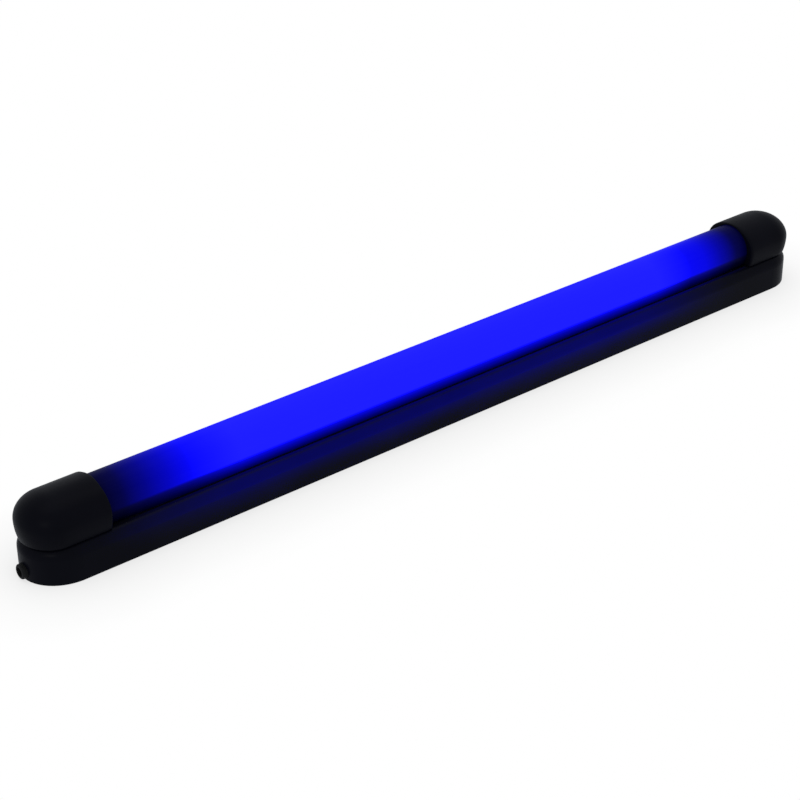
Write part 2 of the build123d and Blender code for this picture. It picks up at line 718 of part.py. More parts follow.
def tube_cap():
    """Cap on the tube's right end: a flange with a hollow spigot inside the diffuser."""
    bore_radius = TUBE_DIAMETER / 2 - DIFFUSER_WALL - 0.05
    cap = rod(TUBE_DIAMETER / 2, (DIFFUSER_END_X, TUBE_FACE_X))
    rim = cap.edges().filter_by(GeomType.CIRCLE).sort_by(Axis.X)[-1]
    cap = fillet(rim, 0.8)
    cap += rod(bore_radius, (CAP_SPIGOT_X, DIFFUSER_END_X))
    cap -= rod(bore_radius - CAP_SPIGOT_WALL, (CAP_SPIGOT_X, TUBE_FACE_X - CAP_END_WALL))
    for side in (-1, 1):
        pin_hole = PIN_DIAMETER / 2 + CAP_PIN_GAP
        cap -= rod(pin_hole, (PIN_TAIL_X, TUBE_FACE_X), side * PIN_SPACING / 2)
    return cap


def tube_pins():
    pins = []
    tip_x = TUBE_FACE_X + PIN_LENGTH
    for side in (-1, 1):
        pin = rod(PIN_DIAMETER / 2, (PIN_TAIL_X, tip_x), side * PIN_SPACING / 2)
        tip = pin.edges().filter_by(GeomType.CIRCLE).sort_by(Axis.X)[-1]
        pins.append(fillet(tip, 0.5))
    return group(pins)


def main():
    os.makedirs("parts", exist_ok=True)
    single = {
        "base_housing": base_housing(),
        "bottom_cover": bottom_cover(),
        "bottom_cover_screws": bottom_cover_screws(),
        "cable_grommet": cable_grommet(),
        "terminal_block": terminal_block(),
        "terminal_screws": terminal_screws(),
        "driver_board": driver_board(),
        "driver_board_screws": driver_board_screws(),
        "input_capacitor": lying_capacitor(**INPUT_CAPACITOR),
        "output_capacitor": lying_capacitor(**OUTPUT_CAPACITOR),
        "transformer_core": transformer_core(),
        "transformer_winding": transformer_winding(),
        "choke_bobbin": choke(),
        "choke_winding": choke_winding(),
        "board_fuse": fuse(),
        "board_chips": board_chips(),
        "board_connectors": board_connectors(),
        "mains_wires": mains_wires(),
        "tube_diffuser": tube_diffuser(),
        "heat_sink": heat_sink(),
        "led_board": led_board(),
        "led_chips": led_chips(),
    }
    handed = {
        "leads": holder_leads(),
        "lampholder": lampholder(),
        "holder_back": holder_back(),
        "holder_rotor": holder_rotor(),
        "holder_contacts": holder_contacts(),
        "holder_screw": holder_screw(),
        "end_cover": end_cover(),
        "end_board": end_board(),
        "tube_cap": tube_cap(),
        "tube_pins": tube_pins(),
        "tube_leads": tube_leads(),
    }
    for name, shape in single.items():
        export_step(shape, f"parts/{name}.step")
    for name, shape in handed.items():
        export_step(shape, f"parts/right_{name}.step")
        export_step(left_of(shape), f"parts/left_{name}.step")


main()
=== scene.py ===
import json
import math

import bmesh
import bpy
from mathutils import Matrix, Vector

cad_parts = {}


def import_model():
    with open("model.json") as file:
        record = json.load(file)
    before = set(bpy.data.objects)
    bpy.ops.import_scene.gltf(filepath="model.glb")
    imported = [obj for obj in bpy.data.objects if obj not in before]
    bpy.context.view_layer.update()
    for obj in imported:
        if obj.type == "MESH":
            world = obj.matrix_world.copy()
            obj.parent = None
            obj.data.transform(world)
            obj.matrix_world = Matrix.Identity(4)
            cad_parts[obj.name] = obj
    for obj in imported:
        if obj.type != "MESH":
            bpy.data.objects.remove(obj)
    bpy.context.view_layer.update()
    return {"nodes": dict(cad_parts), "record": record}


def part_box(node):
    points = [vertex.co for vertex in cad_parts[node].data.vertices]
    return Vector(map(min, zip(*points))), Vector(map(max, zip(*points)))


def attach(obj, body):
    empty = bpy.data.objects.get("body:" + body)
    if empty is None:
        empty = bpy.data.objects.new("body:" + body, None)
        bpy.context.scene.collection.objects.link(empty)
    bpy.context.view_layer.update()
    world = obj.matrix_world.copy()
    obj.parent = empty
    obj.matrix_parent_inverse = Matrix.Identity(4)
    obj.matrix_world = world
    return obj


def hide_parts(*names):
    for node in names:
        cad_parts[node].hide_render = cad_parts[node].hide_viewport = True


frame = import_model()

# LED light tube on a black batten. Metres, in the frame of the CAD model: X along the tube, Z up.
# The two end covers and the diffuser tube are rebuilt here as finer meshes. Every other CAD node
# keeps its shape and gets a material.

MM = 0.001
TUBE_LOW, TUBE_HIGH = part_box("tube_diffuser")
TUBE_AXIS_Z = (TUBE_LOW.z + TUBE_HIGH.z) / 2
TUBE_RADIUS = (TUBE_HIGH.z - TUBE_LOW.z) / 2
BASE_LOW, BASE_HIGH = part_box("base_housing")

# Camera: the photograph's angle
AZIMUTH = math.radians(-38.76)
ELEVATION = math.radians(29.4)
ROLL = math.radians(0.67)
DISTANCE = 1.0264
AIM_SIDE = 0.0242
AIM_HEIGHT = 0.0013
LENS = 90.0

# End covers
COVER_WALL = 1.5 * MM
COVER_RIM = 3.0 * MM
COVER_RIM_ROUNDING = 1.3 * MM
COVER_RIM_LAND = 0.15 * MM
COVER_EQUATOR_ABOVE_AXIS = 1.4 * MM
COVER_LOWER_HALF_HEIGHT = 22.0 * MM
COVER_DOME_DEPTH = 16.0 * MM
COLLAR_BORE_RADIUS = 13.05 * MM
COLLAR_LENGTH = 11.1 * MM
RAIL_X = (11.1 * MM, 28.5 * MM)  # from the rim
RAIL_Y = (11.15 * MM, 15.2 * MM)
RAIL_Z = (2.65 * MM, 3.55 * MM)  # from the cover's lower edge
SECTION_ROWS = 40
LOWER_ROWS = 8
DOME_COLUMNS = 56
SIDE_COLUMNS = 10
ROUNDING_COLUMNS = 6

# Diffuser tube
DIFFUSER_WALL = 0.9 * MM
DIFFUSER_EDGE = 0.15 * MM
DIFFUSER_SEGMENTS = 160
DIFFUSER_SPANS = 48


# Shader building blocks

def connect(tree, socket, value):
    if isinstance(value, bpy.types.NodeSocket):
        tree.links.new(value, socket)
    else:
        socket.default_value = value


def node(tree, kind, inputs=None, **settings):
    made = tree.nodes.new("ShaderNode" + kind)
    for name, value in settings.items():
        setattr(made, name, value)
    for name, value in (inputs or {}).items():
        connect(tree, made.inputs[name], value)
    return made


def rgba(colour):
    return (colour, colour, colour, 1.0) if isinstance(colour, float) else (*colour, 1.0)


def new_material(name, **sockets):
    """A material with a Principled shader. Underscores in socket names stand for spaces."""
    material = bpy.data.materials.new(name)
    material.use_nodes = True
    tree = material.node_tree
    shader = tree.nodes["Principled BSDF"]
    for socket, value in sockets.items():
        shader.inputs[socket.replace("_", " ")].default_value = value
    return material, tree, shader


def coordinates(tree, stretch=None):
    place = node(tree, "TexCoord").outputs["Object"]
    if stretch:
        place = node(tree, "Mapping", {"Vector": place, "Scale": stretch}).outputs["Vector"]
    return place


def noise(tree, scale, detail=2.0, stretch=None):
    """Noise with about that many features in a metre."""
    place = coordinates(tree, stretch)
    return node(tree, "TexNoise", {"Vector": place, "Scale": scale, "Detail": detail}).outputs["Fac"]


def ramp(tree, value, stops, interpolation="LINEAR"):
    """A colour ramp. Each stop is a place from 0 to 1 and a colour or a grey value."""
    made = node(tree, "ValToRGB", {"Fac": value})
    made.color_ramp.interpolation = interpolation
    elements = made.color_ramp.elements
    elements.remove(elements[1])
    elements[0].position = stops[0][0]
    elements[0].color = rgba(stops[0][1])
    for place, colour in stops[1:]:
        elements.new(place).color = rgba(colour)
    return made.outputs["Color"]


def math_node(tree, operation, first, second=0.0):
    return node(tree, "Math", {0: first, 1: second}, operation=operation).outputs["Value"]


def mix_colour(tree, factor, first, second):
    made = node(tree, "Mix", data_type="RGBA")
    for index, value in ((0, factor), (6, first), (7, second)):
        connect(tree, made.inputs[index], value)
    return made.outputs[2]


def axis_value(tree, axis):
    """The piece's own X, Y or Z coordinate in metres."""
    split = node(tree, "SeparateXYZ", {"Vector": coordinates(tree)})
    return split.outputs[axis]


def axis_ramp(tree, axis, stops, interpolation="LINEAR"):
    """A ramp along an axis of the piece, with its stops in metres."""
    low = stops[0][0]
    span = stops[-1][0] - low
    share = node(tree, "MapRange", {"Value": axis_value(tree, axis), "From Min": low, "From Max": low + span})
    places = [((place - low) / span, level) for place, level in stops]
    return ramp(tree, share.outputs["Result"], places, interpolation)


def rounded_normal(tree, radius):
    return node(tree, "Bevel", {"Radius": radius}, samples=6).outputs["Normal"]


def edge_mask(tree, rounded):
    """1 on sharp outer edges, 0 on open faces, broken up by noise: where edges are painted lighter as rubbed
    wear and as a painted highlight.
    """
    flat = node(tree, "NewGeometry").outputs["Normal"]
    facing = node(tree, "VectorMath", {0: rounded, 1: flat}, operation="DOT_PRODUCT").outputs["Value"]
    edge = node(tree, "MapRange", {"Value": facing, "From Min": 0.99, "From Max": 0.9}).outputs["Result"]
    patchy = ramp(tree, noise(tree, 220.0, 4.0), [(0.42, 0.0), (0.6, 1.0)])
    return math_node(tree, "MULTIPLY", edge, patchy)


def bump(tree, height, depth, normal=None):
    inputs = {"Height": height, "Strength": 1.0, "Distance": depth}
    made = node(tree, "Bump", inputs)
    if normal:
        connect(tree, made.inputs["Normal"], normal)
    return made.outputs["Normal"]


# Materials

def moulded_plastic(name, dark, light, roughness, sheen=0.5, grain=0.01 * MM, edge=0.35 * MM, edge_wear_and_highlight=None):
    """Injection-moulded plastic: a fine spark-eroded grain, slow tone changes, edges painted lighter as
    rubbed wear and as a painted edge highlight.
    """
    material, tree, shader = new_material(name, Specular_IOR_Level=sheen)
    tone = noise(tree, 38.0, 3.0)
    colour = ramp(tree, tone, [(0.35, dark), (0.65, light)])
    normal = rounded_normal(tree, edge)
    # Lighter colour on the edges: partly rubbed wear, partly a painted highlight along the edges.
    if edge_wear_and_highlight:
        colour = mix_colour(tree, edge_mask(tree, normal), colour, rgba(edge_wear_and_highlight))
    smears = noise(tree, 90.0, 5.0, stretch=(0.35, 1.0, 1.0))
    gloss = ramp(tree, smears, [(0.35, roughness - 0.05), (0.68, roughness + 0.06)])
    fine = noise(tree, 3200.0, 2.0)
    connect(tree, shader.inputs["Base Color"], colour)
    connect(tree, shader.inputs["Roughness"], gloss)
    connect(tree, shader.inputs["Normal"], bump(tree, fine, grain, normal))
    return material


def rubber(name):
    material, tree, shader = new_material(name, Specular_IOR_Level=0.2)
    speckle = noise(tree, 900.0, 4.0)
    connect(tree, shader.inputs["Base Color"], ramp(tree, speckle, [(0.35, 0.006), (0.7, 0.014)]))
    connect(tree, shader.inputs["Roughness"], ramp(tree, speckle, [(0.3, 0.55), (0.7, 0.75)]))
    connect(tree, shader.inputs["Normal"], bump(tree, speckle, 0.02 * MM))
    return material


def metal(name, colour, roughness, stretch, scale=900.0, depth=0.004 * MM):
    """Metal with fine drawing or turning lines."""
    material, tree, shader = new_material(name, Metallic=1.0)
    lines = noise(tree, scale, 3.0, stretch)
    stains = noise(tree, 60.0, 3.0)
    darker = tuple(0.72 * part for part in colour)
    connect(tree, shader.inputs["Base Color"], ramp(tree, stains, [(0.35, darker), (0.65, colour)]))
    gloss = ramp(tree, lines, [(0.3, roughness - 0.06), (0.7, roughness + 0.1)])
    connect(tree, shader.inputs["Roughness"], gloss)
    connect(tree, shader.inputs["Normal"], bump(tree, lines, depth, rounded_normal(tree, 0.15 * MM)))
    return material


def circuit_board(name, mask, track, pad, pitch):
    """Solder mask over raised copper tracks, with round tinned pads."""
    material, tree, shader = new_material(name)
    tracks = node(
        tree,
        "TexBrick",
        {"Vector": coordinates(tree), "Scale": 1.0, "Mortar Size": 0.0006, "Color1": rgba(0.0)},
    )
    for socket, value in (("Color2", rgba(0.0)), ("Mortar", rgba(1.0))):
        tracks.inputs[socket].default_value = value
    tracks.inputs["Brick Width"].default_value = pitch * 4
    tracks.inputs["Row Height"].default_value = pitch
    lines = tracks.outputs["Color"]
    cells = node(
        tree, "TexVoronoi", {"Vector": coordinates(tree), "Scale": 0.35 / pitch, "Randomness": 0.8}
    )
    pads = ramp(tree, cells.outputs["Distance"], [(0.10, 1.0), (0.13, 0.0)])
    green = mix_colour(tree, lines, rgba(mask), rgba(track))
    connect(tree, shader.inputs["Base Color"], mix_colour(tree, pads, green, rgba(pad)))
    connect(tree, shader.inputs["Roughness"], ramp(tree, noise(tree, 300.0), [(0.3, 0.28), (0.7, 0.4)]))
    connect(tree, shader.inputs["Normal"], bump(tree, lines, 0.03 * MM))
    return material


def insulation(name, dark, light):
    """Soft PVC over stranded wire: the strands show through as a faint lay."""
    material, tree, shader = new_material(name)
    strands = noise(tree, 1400.0, 1.0, stretch=(0.25, 1.0, 1.0))
    connect(tree, shader.inputs["Base Color"], ramp(tree, strands, [(0.3, dark), (0.7, light)]))
    connect(tree, shader.inputs["Roughness"], ramp(tree, strands, [(0.3, 0.32), (0.7, 0.45)]))
    connect(tree, shader.inputs["Normal"], bump(tree, strands, 0.02 * MM))
    return material


def wound(name, dark, light, turns_each_metre, metallic, axis):
    """Turns of enamelled wire or tape round a core."""
    material, tree, shader = new_material(name, Metallic=metallic, Coat_Weight=0.5)
    bands = node(
        tree,
        "TexWave",
        {"Vector": coordinates(tree), "Scale": turns_each_metre, "Distortion": 0.6, "Detail Scale": 300.0},
        bands_direction=axis,
    ).outputs["Fac"]
    connect(tree, shader.inputs["Base Color"], ramp(tree, bands, [(0.1, dark), (0.6, light)]))
    connect(tree, shader.inputs["Roughness"], ramp(tree, bands, [(0.0, 0.5), (0.8, 0.25)]))
    connect(tree, shader.inputs["Normal"], bump(tree, bands, 0.05 * MM))
    return material


def granular(name, dark, light, roughness, scale=1500.0, depth=0.03 * MM):
    """Sintered ferrite, moulded epoxy or glazed ceramic."""
    material, tree, shader = new_material(name)
    grains = noise(tree, scale, 4.0)
    connect(tree, shader.inputs["Base Color"], ramp(tree, grains, [(0.35, dark), (0.65, light)]))
    gloss = ramp(tree, grains, [(0.3, roughness - 0.08), (0.7, roughness + 0.08)])
    connect(tree, shader.inputs["Roughness"], gloss)
    connect(tree, shader.inputs["Normal"], bump(tree, grains, depth, rounded_normal(tree, 0.2 * MM)))
    return material


# The light is even along the middle and fades into the dark ends: place along X, and level there.
GLOW_ALONG = (
    (-209 * MM, 0.004),
    (-200 * MM, 0.018),
    (-188 * MM, 0.08),
    (-176 * MM, 0.175),
    (-164 * MM, 0.31),
    (-152 * MM, 0.58),
    (-136 * MM, 1.0),
    (140 * MM, 1.0),
    (152 * MM, 0.66),
    (164 * MM, 0.31),
    (176 * MM, 0.26),
    (188 * MM, 0.125),
    (200 * MM, 0.02),
    (209 * MM, 0.004),
)
# The strip inside shades the tube's lower part: height from the tube's axis, and level there.
GLOW_ROUND = (
    (-9.5 * MM, 0.01),
    (-5.9 * MM, 0.055),
    (-3.3 * MM, 0.13),
    (-1.2 * MM, 0.25),
    (-0.5 * MM, 0.5),
    (0.3 * MM, 1.0),
)
# A dim stretch is a purer blue than a bright one.
GLOW_COLOURS = ((0.0, (0.0, 0.0, 0.0)), (0.3, (0.0004, 0.0004, 0.3)), (1.0, (0.0042, 0.0042, 1.0)))
GLOW_STRENGTH = 3.0


def lit_diffuser(name):
    """Blue-tinted polycarbonate, lit from inside, with faint draw lines along the tube."""
    material, tree, shader = new_material(name, Emission_Strength=GLOW_STRENGTH, Specular_IOR_Level=0.02)
    along = axis_ramp(tree, "X", GLOW_ALONG)
    heights = [(TUBE_AXIS_Z + height, level) for height, level in GLOW_ROUND]
    level = math_node(tree, "MULTIPLY", along, axis_ramp(tree, "Z", heights))
    glow = ramp(tree, level, GLOW_COLOURS)
    draw_lines = noise(tree, 700.0, 3.0, stretch=(0.02, 1.0, 1.0))
    tint = ramp(tree, draw_lines, [(0.3, (0.001, 0.001, 0.010)), (0.7, (0.002, 0.002, 0.018))])
    connect(tree, shader.inputs["Base Color"], tint)
    connect(tree, shader.inputs["Emission Color"], glow)
    connect(tree, shader.inputs["Roughness"], ramp(tree, draw_lines, [(0.3, 0.3), (0.7, 0.42)]))
    connect(tree, shader.inputs["Normal"], bump(tree, draw_lines, 0.006 * MM))
    return material


def led_lens(name):
    """Clear silicone over a blue die: bright in the middle of each package."""
    material, tree, shader = new_material(name, Emission_Strength=2.0, Coat_Weight=1.0)
    bright = axis_ramp(tree, "Y", ((-1.5 * MM, 0.05), (0.0, 1.0), (1.5 * MM, 0.05)))
    glow = mix_colour(tree, bright, rgba(0.0), rgba((0.05, 0.05, 1.0)))
    connect(tree, shader.inputs["Emission Color"], glow)
    package = ramp(tree, noise(tree, 800.0), [(0.4, (0.55, 0.55, 0.45)), (0.6, (0.7, 0.7, 0.6))])
    connect(tree, shader.inputs["Base Color"], package)
    return material


def make_materials():
    """One material for each of the record's material slots."""
    black = {"dark": (0.0032, 0.0033, 0.0062), "light": (0.0044, 0.0045, 0.0084), "sheen": 0.05}
    cream = {"dark": (0.66, 0.64, 0.58), "light": (0.74, 0.72, 0.66)}
    steel = (0.58, 0.59, 0.6)
    brass = (0.72, 0.52, 0.24)
    lengthwise = (0.03, 1.0, 1.0)
    crosswise = (1.0, 0.05, 1.0)
    return {
        # The black plastics' edges are painted lighter: partly rubbed wear, partly a painted edge highlight.
        "housing_black": moulded_plastic("housing_black", **black, roughness=0.27, edge_wear_and_highlight=0.014),
        "plate_black": moulded_plastic("plate_black", **black, roughness=0.45, grain=0.03 * MM, edge_wear_and_highlight=0.02),
        "cover_black": moulded_plastic("cover_black", **black, roughness=0.36, edge_wear_and_highlight=0.012),
        "grommet_rubber": rubber("grommet_rubber"),
        "zinc_steel": metal("zinc_steel", steel, 0.32, (1.0, 1.0, 0.1)),
        "holder_white": moulded_plastic("holder_white", **cream, roughness=0.4),
        "rotor_white": moulded_plastic("rotor_white", **cream, roughness=0.34),
        "contact_brass": metal("contact_brass", brass, 0.25, crosswise),
        "terminal_natural": moulded_plastic(
            "terminal_natural", (0.55, 0.53, 0.45), (0.68, 0.66, 0.56), roughness=0.45
        ),
        "board_green": circuit_board(
            "board_green", (0.008, 0.09, 0.03), (0.02, 0.17, 0.05), (0.55, 0.55, 0.53), 2.6 * MM
        ),
        "sleeve_dark": insulation("sleeve_dark", (0.006, 0.010, 0.03), (0.012, 0.02, 0.05)),
        "ferrite": granular("ferrite", 0.02, 0.045, 0.6),
        "winding_copper": wound("winding_copper", (0.25, 0.08, 0.03), (0.75, 0.34, 0.15), 700.0, 1.0, "Z"),
        "winding_tape": wound("winding_tape", (0.45, 0.3, 0.03), (0.72, 0.52, 0.07), 180.0, 0.0, "Y"),
        "fuse_ceramic": granular("fuse_ceramic", 0.55, 0.7, 0.25, depth=0.01 * MM),
        "chip_black": granular("chip_black", 0.012, 0.02, 0.5),
        "connector_white": moulded_plastic("connector_white", **cream, roughness=0.42),
        "mains_insulation": insulation("mains_insulation", (0.16, 0.16, 0.17), (0.24, 0.24, 0.25)),
        "lead_insulation": insulation("lead_insulation", (0.5, 0.5, 0.5), (0.66, 0.66, 0.64)),
        "diffuser_blue": lit_diffuser("diffuser_blue"),
        "heat_sink_aluminium": metal("heat_sink_aluminium", (0.7, 0.71, 0.73), 0.35, lengthwise),
        "led_board_white": circuit_board(
            "led_board_white", (0.72, 0.72, 0.72), (0.6, 0.6, 0.6), (0.5, 0.5, 0.48), 4.7 * MM
        ),
        "led_blue": led_lens("led_blue"),
        "tube_cap_dark": metal("tube_cap_dark", (0.07, 0.07, 0.075), 0.38, (1.0, 0.05, 0.05)),
    }


# Mesh building blocks

def finish_piece(name, mesh, body, node_name, slot_name, materials, sharp_degrees=35.0):
    """Turns a bmesh into a piece that rides on a body and stands for a CAD node."""
    bmesh.ops.remove_doubles(mesh, verts=mesh.verts, dist=0.0005 * MM)
    bmesh.ops.dissolve_degenerate(mesh, edges=mesh.edges, dist=0.0002 * MM)
    bmesh.ops.recalc_face_normals(mesh, faces=mesh.faces)
    data = bpy.data.meshes.new(name)
    mesh.to_mesh(data)
    mesh.free()
    data.shade_smooth()
    data.set_sharp_from_angle(angle=math.radians(sharp_degrees))
    piece = bpy.data.objects.new(name, data)
    bpy.context.scene.collection.objects.link(piece)
    data.materials.append(materials[slot_name])
    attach(piece, body)
    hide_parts(node_name)
    return piece


def add_strip(mesh, rows, closed=False):
    """Quads between rows of points; closed joins each row's end to its start."""
    made = [[mesh.verts.new(point) for point in row] for row in rows]
    for lower, upper in zip(made, made[1:]):
        last = len(lower) if closed else len(lower) - 1
        for index in range(last):
            following = (index + 1) % len(lower)
            mesh.faces.new((lower[index], lower[following], upper[following], upper[index]))
    return made


def add_block(mesh, low, high):
    made = bmesh.ops.create_cube(mesh, size=1.0)["verts"]
    size = Vector(high) - Vector(low)
    middle = (Vector(high) + Vector(low)) / 2
    bmesh.ops.transform(mesh, matrix=Matrix.LocRotScale(middle, None, size), verts=made)


# End covers

class CoverShape:
    """Sizes of the right end cover, read from its CAD node, and points on its skins."""

    def __init__(self):
        low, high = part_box("right_end_cover")
        self.rim_x = low.x
        self.tip_x = high.x
        self.dome_x = high.x - COVER_DOME_DEPTH
        self.half_width = high.y
        self.seat_z = low.z
        self.crest_z = high.z
        self.equator_z = TUBE_AXIS_Z + COVER_EQUATOR_ABOVE_AXIS

    def angles(self, inset):
        """Section angles from the lower edge to the crest, for a skin that far inside."""
        drop = (self.equator_z - self.seat_z) / (COVER_LOWER_HALF_HEIGHT - inset)
        lowest = -math.asin(drop)
        lower = [lowest * (1 - index / LOWER_ROWS) for index in range(LOWER_ROWS)]
        upper = [math.pi / 2 * index / SECTION_ROWS for index in range(SECTION_ROWS + 1)]
        return lower + upper

    def section(self, angle, inset):
        """Half width and height of a skin at a section angle, and how far it has drawn in."""
        height = COVER_LOWER_HALF_HEIGHT if angle < 0 else self.crest_z - self.equator_z
        share = max(0.0, math.cos(angle))
        z = self.equator_z + (height - inset) * math.sin(angle)
        return (self.half_width - inset) * share, z, share

    def dome(self, angle, inset):
        """Points round the dome at a section angle, from one side over the tip to the other."""
        half_width, z, share = self.section(angle, inset)
        depth = (COVER_DOME_DEPTH - inset) * share
        turns = [math.pi * (index / DOME_COLUMNS - 0.5) for index in range(DOME_COLUMNS + 1)]
        return [Vector((self.dome_x + depth * math.cos(t), half_width * math.sin(t), z)) for t in turns]

    def bore_point(self, y, z):
        """Where the line from a skin point towards the tube meets the collar's bore."""
        rise = z - TUBE_AXIS_Z
        if rise <= 0:
            return math.sqrt(COLLAR_BORE_RADIUS**2 - rise**2), z
        scale = COLLAR_BORE_RADIUS / math.hypot(y, rise)
        return y * scale, TUBE_AXIS_Z + rise * scale

    def outer_side(self, angle):
        """From the bore's edge over the rounded rim and along the side to the dome, for y above 0."""
        y, z, _ = self.section(angle, 0.0)
        bore_y, bore_z = self.bore_point(y, z)
        towards = Vector((0.0, bore_y - y, bore_z - z))
        room = towards.length
        rounding = min(COVER_RIM_ROUNDING, room - COVER_RIM_LAND)
        towards.normalize()
        skin = Vector((0.0, y, z))
        points = [Vector((self.rim_x, bore_y, bore_z))]
        for index in range(ROUNDING_COLUMNS + 1):
            turn = math.pi / 2 * (1 - index / ROUNDING_COLUMNS)
            inward = rounding * (1 - math.cos(turn))
            x = self.rim_x + rounding * (1 - math.sin(turn))
            points.append(Vector((x, 0, 0)) + skin + towards * inward)
        start = self.rim_x + rounding
        for index in range(1, SIDE_COLUMNS):
            x = start + (self.dome_x - start) * index / SIDE_COLUMNS
            points.append(Vector((x, y, z)))
        return points

    def inner_side(self, outer_angle, angle):
        """From the bore's edge through the collar and along the inside to the dome, for y above 0."""
        outer_y, outer_z, _ = self.section(outer_angle, 0.0)
        bore_y, bore_z = self.bore_point(outer_y, outer_z)
        y, z, _ = self.section(angle, COVER_WALL)
        collar_y, collar_z = y, z
        if math.hypot(y, z - TUBE_AXIS_Z) < COLLAR_BORE_RADIUS:
            collar_y, collar_z = self.bore_point(y, z)
        rim_back = self.rim_x + COVER_RIM
        collar_end = self.rim_x + COLLAR_LENGTH
        points = [
            Vector((self.rim_x, bore_y, bore_z)),
            Vector((rim_back, bore_y, bore_z)),
            Vector((rim_back, collar_y, collar_z)),
            Vector((collar_end, collar_y, collar_z)),
            Vector((collar_end, y, z)),
        ]
        missing = ROUNDING_COLUMNS + SIDE_COLUMNS + 1 - len(points)
        for index in range(missing):
            x = collar_end + (self.dome_x - collar_end) * (index + 1) / (missing + 1)
            points.append(Vector((x, y, z)))
        return points


def flipped(points):
    return [Vector((point.x, -point.y, point.z)) for point in points]


def end_cover(side, name, body, node_name, materials):
    """A domed shell with a rounded rim, a collar for the tube and two guide rails inside."""
    shape = CoverShape()
    mesh = bmesh.new()
    outer_rows = []
    inner_rows = []
    for outer_angle, inner_angle in zip(shape.angles(0.0), shape.angles(COVER_WALL)):
        outer_half = shape.outer_side(outer_angle)
        inner_half = shape.inner_side(outer_angle, inner_angle)
        outer_rows.append(flipped(outer_half) + shape.dome(outer_angle, 0.0) + outer_half[::-1])
        inner_rows.append(flipped(inner_half) + shape.dome(inner_angle, COVER_WALL) + inner_half[::-1])
    add_strip(mesh, outer_rows)
    add_strip(mesh, inner_rows)
    add_strip(mesh, [outer_rows[0], inner_rows[0]])
    for hand in (-1, 1):
        low = (shape.rim_x + RAIL_X[0], min(hand * y for y in RAIL_Y), shape.seat_z + RAIL_Z[0])
        high = (shape.rim_x + RAIL_X[1], max(hand * y for y in RAIL_Y), shape.seat_z + RAIL_Z[1])
        add_block(mesh, low, high)
    bmesh.ops.scale(mesh, vec=(side, 1, 1), verts=mesh.verts)
    return finish_piece(name, mesh, body, node_name, "cover_black", materials)


# Diffuser tube

def diffuser_tube(materials):
    """The tube's wall as one closed mesh, with a small chamfer on each edge."""
    end_x = TUBE_HIGH.x
    inner_radius = TUBE_RADIUS - DIFFUSER_WALL
    inside_x = end_x - DIFFUSER_EDGE
    spans = [-inside_x + 2 * inside_x * index / DIFFUSER_SPANS for index in range(DIFFUSER_SPANS + 1)]
    loop = [(x, TUBE_RADIUS) for x in spans]
    loop += [(end_x, TUBE_RADIUS - DIFFUSER_EDGE), (end_x, inner_radius + DIFFUSER_EDGE)]
    loop += [(x, inner_radius) for x in (inside_x, -inside_x)]
    loop += [(-end_x, inner_radius + DIFFUSER_EDGE), (-end_x, TUBE_RADIUS - DIFFUSER_EDGE)]
    rows = []
    for index in range(DIFFUSER_SEGMENTS + 1):
        turn = 2 * math.pi * index / DIFFUSER_SEGMENTS
        rows.append([Vector((x, r * math.cos(turn), TUBE_AXIS_Z + r * math.sin(turn))) for x, r in loop])
    mesh = bmesh.new()
    add_strip(mesh, rows, closed=True)
    return finish_piece("lit_tube", mesh, "tube", "tube_diffuser", "diffuser_blue", materials)


# Stage, light and camera

FLOOR_HALF_SIZE = 4.0
FLOOR_DROP = 0.1 * MM
CONTACT_REACH = 0.045
SPILL_COLOUR = (0.003, 0.003, 1.0)
SPILL_STRENGTH = 22.0
SPILL_ARCH_RADIUS = 50 * MM
# Level by the distance from the base's wall, along X, and by the angle above the floor.
SPILL_ACROSS = (
    (5.5 * MM, 0.0),
    (8.3 * MM, 0.03),
    (11.1 * MM, 0.09),
    (13.9 * MM, 0.19),
    (16.6 * MM, 0.4),
    (19.5 * MM, 0.73),
)
SPILL_ALONG = (
    (-200 * MM, 0.0),
    (-177 * MM, 0.25),
    (-155 * MM, 0.55),
    (-125 * MM, 1.0),
    (120 * MM, 1.0),
    (150 * MM, 0.8),
    (187 * MM, 0.18),
    (215 * MM, 0.0),
)
SPILL_UP = ((0, 0.75), (40, 0.85), (62, 0.72), (80, 0.0))
SPILL_BESIDE_TUBE = 0.38


def plane(name, low_x, high_x, low_y, high_y, z):
    data = bpy.data.meshes.new(name)
    corners = [(low_x, low_y, z), (high_x, low_y, z), (high_x, high_y, z), (low_x, high_y, z)]
    data.from_pydata(corners, [], [(0, 1, 2, 3)])
    made = bpy.data.objects.new(name, data)
    bpy.context.scene.collection.objects.link(made)
    return made


def floor():
    """A white paper floor with a soft shadow where the object stands; clear from below."""
    half = FLOOR_HALF_SIZE
    paper = plane("floor", -half, half, -half, half, -FLOOR_DROP)
    paper.visible_diffuse = False
    paper.visible_glossy = False
    material = bpy.data.materials.new("floor_paper")
    material.use_nodes = True
    tree = material.node_tree
    tree.nodes.clear()
    contact = node(tree, "AmbientOcclusion", {"Distance": CONTACT_REACH}, samples=16).outputs["AO"]
    shade = ramp(tree, contact, [(0.35, 0.75), (1.0, 1.0)])
    white = node(tree, "Emission", {"Color": shade, "Strength": 1.0}).outputs["Emission"]
    clear = node(tree, "BsdfTransparent").outputs["BSDF"]
    below = node(tree, "NewGeometry").outputs["Backfacing"]
    surface = node(tree, "MixShader", {0: below, 1: white, 2: clear}).outputs["Shader"]
    node(tree, "OutputMaterial", {"Surface": surface})
    paper.data.materials.append(material)


